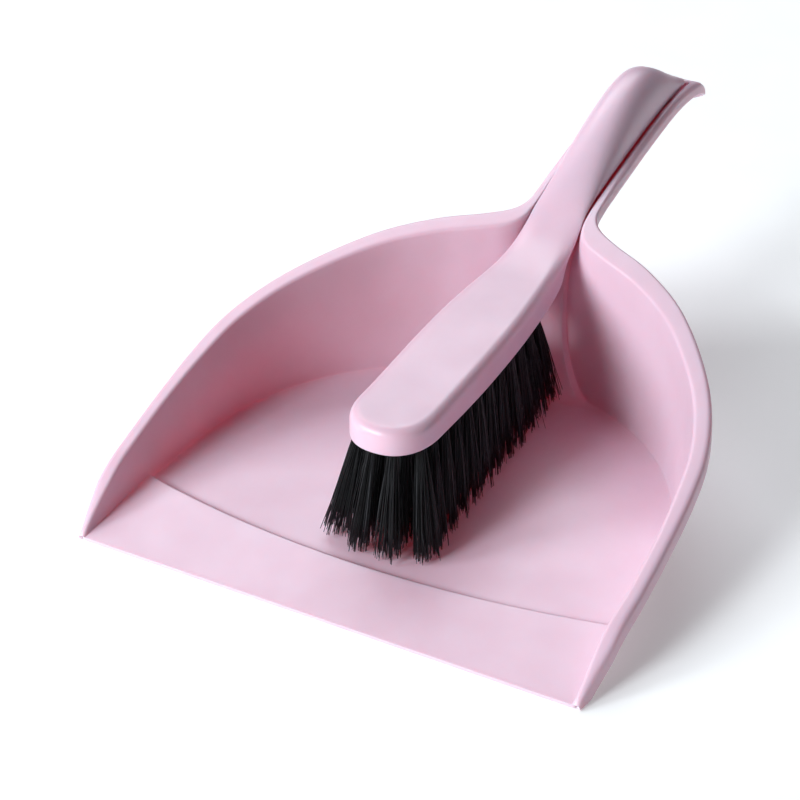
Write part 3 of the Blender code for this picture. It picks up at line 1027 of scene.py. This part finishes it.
@dataclass
class Bristles:
    """Fifty tufts of black nylon strands, each with a wire anchor at the bottom of its hole."""

    moulding: BrushMoulding
    pan: bpy.types.Object
    nylon: Nylon = field(default_factory=Nylon)
    wire: SteelWire = field(default_factory=SteelWire)
    inner_row_x: float = 4.3
    outer_row_x: float = 12.4
    outer_row_edge: float = 4.6
    inner_count: int = 13
    outer_count: int = 12
    inner_roots: Pair = (52.5, 162.0)
    outer_roots: Pair = (58.0, 160.0)
    inner_tips: Pair = (40.5, 165.5)
    outer_tips: Pair = (46.0, 162.0)
    side_spread: float = 1.28
    front_spread: float = 0.26
    front_lean: float = 2.0
    back_spread: float = 9.0
    strands: int = 112
    strand_radius: float = 0.165
    bundle_radius: float = 1.80
    bundle_jitter: float = 0.10
    golden_turn: float = 2.39996
    tip_spread: float = 2.9
    tip_jitter: float = 0.9
    clumps: int = 14
    clump_spread: float = 2.9
    clump_pull: Pair = (0.15, 0.65)
    stray_share: float = 0.07
    stray_spread: float = 1.5
    stray_rise: float = 3.0
    in_hole: float = 6.2
    hole_squeeze: float = 0.9
    hole_jitter: float = 0.5
    floor: float = 4.75
    shortfall: float = 4.6
    short_power: float = 1.7
    splay_rise: float = 0.16
    splay_power: float = 0.92
    bow: float = 0.75
    head_overlap: float = 0.2
    wall_gap: float = 0.7
    levels: tuple[float, ...] = (-1.0, 0.0, 0.22, 0.48, 0.74, 1.0)
    taper: tuple[float, ...] = (1.0, 1.0, 1.0, 0.98, 0.94, 0.82)
    tone_power: int = 5
    anchor_inset: float = 1.3
    anchor_gap: float = 0.15
    anchor_half: Pair = (0.16, 0.45)
    anchor_edge: float = 0.05
    anchor_sag: float = 0.35
    seed: int = 11

    def places(self) -> list[Place]:
        """Lays out the four rows of tufts.

        Returns:
            Every tuft's place, row by row.
        """
        found = []
        rows = ((-1, self.outer_row_x, self.outer_count, self.outer_roots, self.outer_tips),
                (-1, self.inner_row_x, self.inner_count, self.inner_roots, self.inner_tips),
                (1, self.inner_row_x, self.inner_count, self.inner_roots, self.inner_tips),
                (1, self.outer_row_x, self.outer_count, self.outer_roots, self.outer_tips))
        for row, (side, row_x, count, roots, tips) in enumerate(rows, start=1):
            for i in range(count):
                along = i / (count - 1)
                root_y = roots[0] + (roots[1] - roots[0]) * along
                root_x = side * min(row_x, self.moulding.half_width.fair(root_y) - self.outer_row_edge)
                front = (1 - along) ** 3
                tip_x = root_x * (self.side_spread + self.front_spread * front) + self.front_lean * front
                tip_y = tips[0] + (tips[1] - tips[0]) * along + self.back_spread * along**5
                found.append(Place(f"tuft_{row}_{i + 1:02d}", (root_x, root_y), (tip_x, tip_y)))
        return found

    def strand(self) -> tuple[np.ndarray, list[list[int]]]:
        """Models one upright strand that all the others are copied from.

        Returns:
            Its points, as x and y on the circle and the level's index as z, and its faces.
        """
        deselect()
        bpy.ops.mesh.primitive_cylinder_add(vertices=4, radius=1.0, depth=1.0)
        made = named("strand_pattern")
        bpy.ops.object.mode_set(mode="EDIT")
        for level in range(1, len(self.levels) - 1):
            bpy.ops.mesh.select_all(action="SELECT")
            bpy.ops.mesh.bisect(plane_co=(0, 0, level / (len(self.levels) - 1) - 0.5), plane_no=(0, 0, 1))
        bpy.ops.object.mode_set(mode="OBJECT")
        points = np.array([v.co for v in made.data.vertices], float)
        points[:, 2] = np.rint((0.5 - points[:, 2]) * (len(self.levels) - 1))
        faces = [list(face.vertices) for face in made.data.polygons]
        bpy.data.objects.remove(made, do_unlink=True)
        return points, faces

    def paths(self, place: Place, random: np.random.Generator) -> np.ndarray:
        """Lays the strands of one tuft.

        Args:
            place: The tuft's place.
            random: The source of its unevenness.

        Returns:
            Points by strand and level, in design millimetres.
        """
        count = self.strands
        order = np.arange(count)
        turn = order * self.golden_turn + random.uniform(0, 6.28)
        far = self.bundle_radius * np.sqrt((order + 0.5) / count)
        offset = np.stack([far * np.cos(turn), far * np.sin(turn)], 1)
        offset += random.normal(0, self.bundle_jitter, (count, 2))
        centres = random.normal(0, self.clump_spread, (self.clumps, 2))
        splay = offset * self.tip_spread + random.normal(0, self.tip_jitter, (count, 2))
        nearest = np.argmin(np.linalg.norm(splay[:, None] - centres[None], axis=2), axis=1)
        splay += (centres[nearest] - splay) * random.uniform(*self.clump_pull, (count, 1))
        stray = random.random(count) < self.stray_share
        splay[stray] += random.normal(0, self.stray_spread, (int(stray.sum()), 2))
        face = self.moulding.bottom(place.root[1])
        tip_z = self.floor + self.shortfall * random.random(count) ** self.short_power
        tip_z += self.splay_rise * np.linalg.norm(splay, axis=1)
        tip_z[stray] += random.uniform(0, self.stray_rise, int(stray.sum()))
        root = np.array(place.root)
        tip = np.array(place.tip)
        bow = random.normal(0, self.bow, (count, 2))
        path = np.zeros((count, len(self.levels), 3))
        for k, level in enumerate(self.levels):
            if level < 0:
                path[:, k, :2] = root + offset * self.hole_squeeze
                unevenness = random.uniform(-self.hole_jitter, self.hole_jitter, count)
                path[:, k, 2] = face + self.in_hole + unevenness
                continue
            way = level**self.splay_power
            path[:, k, :2] = root + offset * (1 - way) + (tip - root + splay) * way
            path[:, k, :2] += bow * math.sin(math.pi * level) * level
            path[:, k, 2] = face - self.head_overlap + (tip_z - face + self.head_overlap) * level
            for point in path[:, k]:
                point[1] = min(point[1], self.wall_y(point))
        return path

    def wall_y(self, point: np.ndarray) -> float:
        """Finds how far back a strand may reach before it would touch the pan's wall.

        Args:
            point: A point of the strand.

        Returns:
            The greatest y, in design millimetres.
        """
        start = world(np.array((point[0], self.inner_roots[0], point[2])))
        hit, there, *_ = self.pan.ray_cast(start.tolist(), (0, 1, 0))
        return self.inner_roots[0] + (there.y - start[1]) / MM - self.wall_gap if hit else LENGTH

    def tuft(self, place: Place, pattern: tuple[np.ndarray, list[list[int]]], finish: bpy.types.Material,
             random: np.random.Generator) -> bpy.types.Object:
        """Makes one tuft out of copies of the strand.

        Args:
            place: The tuft's place.
            pattern: What strand gives.
            finish: The strands' material.
            random: The source of its unevenness.

        Returns:
            The finished piece.
        """
        points, faces = pattern
        paths = self.paths(place, random)
        level = points[:, 2].astype(int)
        narrow = np.array(self.taper)[level] * self.strand_radius
        spin = random.uniform(0, math.pi / 2, (self.strands, 1))
        x, y = points[:, 0] * narrow, points[:, 1] * narrow
        co = paths[:, level, :]
        co[:, :, 0] += x * np.cos(spin) - y * np.sin(spin)
        co[:, :, 1] += x * np.sin(spin) + y * np.cos(spin)
        mesh = bpy.data.meshes.new(place.name)
        every = [[v + i * len(points) for v in face] for i in range(self.strands) for face in faces]
        mesh.from_pydata(world(co.reshape(-1, 3)).tolist(), [], every)
        tone = mesh.attributes.new(self.nylon.strand, "FLOAT", "POINT")
        tones = random.random(self.strands) ** self.tone_power
        tone.data.foreach_set("value", np.repeat(tones, len(points)).astype(np.float32))
        made = bpy.data.objects.new(place.name.replace("tuft", "bristles"), mesh)
        bpy.context.collection.objects.link(made)
        smooth(made, 100)
        settle(made, finish, Body.BRUSH, Slot.BRISTLES, place.name)
        return made

    def anchor(self, place: Place, finish: bpy.types.Material) -> bpy.types.Object:
        """Makes the flat wire that holds one tuft in its hole.

        Args:
            place: The tuft's place.
            finish: The wire's material.

        Returns:
            The finished piece.
        """
        x, y = place.root
        z = self.moulding.bottom(y) + self.moulding.hole_depth - self.anchor_inset
        half = self.moulding.hole_radius - self.anchor_gap
        thick, tall = self.anchor_half
        made = block(place.name.replace("tuft", "anchor"), (x - half, y - thick, z - tall),
                     (x + half, y + thick, z + tall), self.anchor_edge, 1)
        bpy.ops.object.mode_set(mode="EDIT")
        bpy.ops.mesh.select_all(action="SELECT")
        bpy.ops.mesh.bisect(plane_co=tuple(world(np.array((x, y, z)))), plane_no=(1, 0, 0))
        bpy.ops.transform.translate(value=(0, 0, -self.anchor_sag * MM))
        bpy.ops.object.mode_set(mode="OBJECT")
        smooth(made, 35)
        settle(made, finish, Body.BRUSH, None)
        return made

    def build(self) -> None:
        """Makes every tuft and its anchor."""
        pattern = self.strand()
        nylon = self.nylon.material()
        wire = self.wire.material()
        for number, place in enumerate(self.places()):
            self.tuft(place, pattern, nylon, np.random.default_rng(self.seed + number))
            self.anchor(place, wire)


@dataclass(frozen=True)
class Lamp:
    """A soft rectangular light that points at the set, placed by degrees and metres."""

    name: str
    around: float
    up: float
    far: float
    size: Pair
    power: float
    colour: tuple[float, float, float] = (1.0, 1.0, 1.0)


@dataclass
class Studio:
    """The paper, the lights and the camera."""

    azimuth: float = 28.49
    elevation: float = 32.22
    camera_at: tuple[float, float, float] = (0.31483, -0.68562, 0.47496)
    lens: float = 94.17
    paper: StudioPaper = field(default_factory=StudioPaper)
    paper_size: float = 7.0
    target: tuple[float, float, float] = (0.0, -0.02, 0.03)
    room: Colour = (0.97, 0.95, 1.0, 1.0)
    room_strength: float = 0.02
    lamps: tuple[Lamp, ...] = (
        Lamp("key_light", 53.0, 27.0, 3.0, (0.90, 0.90), 73.0, (0.91, 0.97, 1.0)),
        Lamp("side_light", 80.0, 28.0, 3.0, (0.80, 0.80), 40.0, (0.91, 0.97, 1.0)),
        Lamp("window_light", 175.0, 47.0, 3.0, (2.2, 1.4), 46.0, (0.89, 0.95, 1.0)),
        Lamp("right_fill", -80.0, 36.0, 3.0, (1.4, 0.9), 5.0, (0.97, 0.95, 1.0)),
    )

    def floor(self) -> None:
        """Lays the paper."""
        deselect()
        bpy.ops.mesh.primitive_plane_add(size=self.paper_size, location=(0, 0, 0))
        made = named("studio_floor")
        made.data.materials.append(self.paper.material())

    def light(self) -> None:
        """Sets up the lamps, placed around the set from where the camera stands, and the dim room."""
        target = Vector(self.target)
        for lamp in self.lamps:
            angle = math.radians(self.azimuth - 90.0 - lamp.around)
            up = math.radians(lamp.up)
            way = Vector((math.cos(angle) * math.cos(up), math.sin(angle) * math.cos(up), math.sin(up)))
            data = bpy.data.lights.new(lamp.name, "AREA")
            data.shape = "RECTANGLE"
            data.size, data.size_y = lamp.size
            data.energy = lamp.power
            data.color = lamp.colour
            made = bpy.data.objects.new(lamp.name, data)
            made.location = target + way * lamp.far
            made.rotation_euler = (-way).to_track_quat("-Z", "Y").to_euler()
            bpy.context.scene.collection.objects.link(made)
        room = bpy.data.worlds.new("dim_room")
        room.use_nodes = True
        background = room.node_tree.nodes["Background"]
        background.inputs["Color"].default_value = self.room
        background.inputs["Strength"].default_value = self.room_strength
        bpy.context.scene.world = room

    def camera(self) -> None:
        """Sets up the camera."""
        a, e = math.radians(self.azimuth), math.radians(self.elevation)
        ahead = Vector((-math.sin(a) * math.cos(e), math.cos(a) * math.cos(e), -math.sin(e)))
        right = Vector((math.cos(a), math.sin(a), 0.0))
        upward = right.cross(ahead)
        data = bpy.data.cameras.new("camera")
        data.lens = self.lens
        data.sensor_width = 36.0
        made = bpy.data.objects.new("camera", data)
        turn = Matrix((right, upward, -ahead)).transposed().to_4x4()
        made.matrix_world = Matrix.Translation(self.camera_at) @ turn
        bpy.context.scene.collection.objects.link(made)
        bpy.context.scene.camera = made

    def build(self) -> None:
        """Makes the studio."""
        self.floor()
        self.light()
        self.camera()
        bpy.context.scene.view_settings.view_transform = "Standard"


def main() -> None:
    """Builds the set and its studio."""
    logging.basicConfig(level=logging.INFO, format="%(name)s: %(message)s")
    pan = PanMoulding().build()
    moulding = BrushMoulding()
    bristles = Bristles(moulding, pan)
    moulding.build(bristles.places())
    bristles.build()
    Studio().build()


if __name__ == "__main__":
    main()
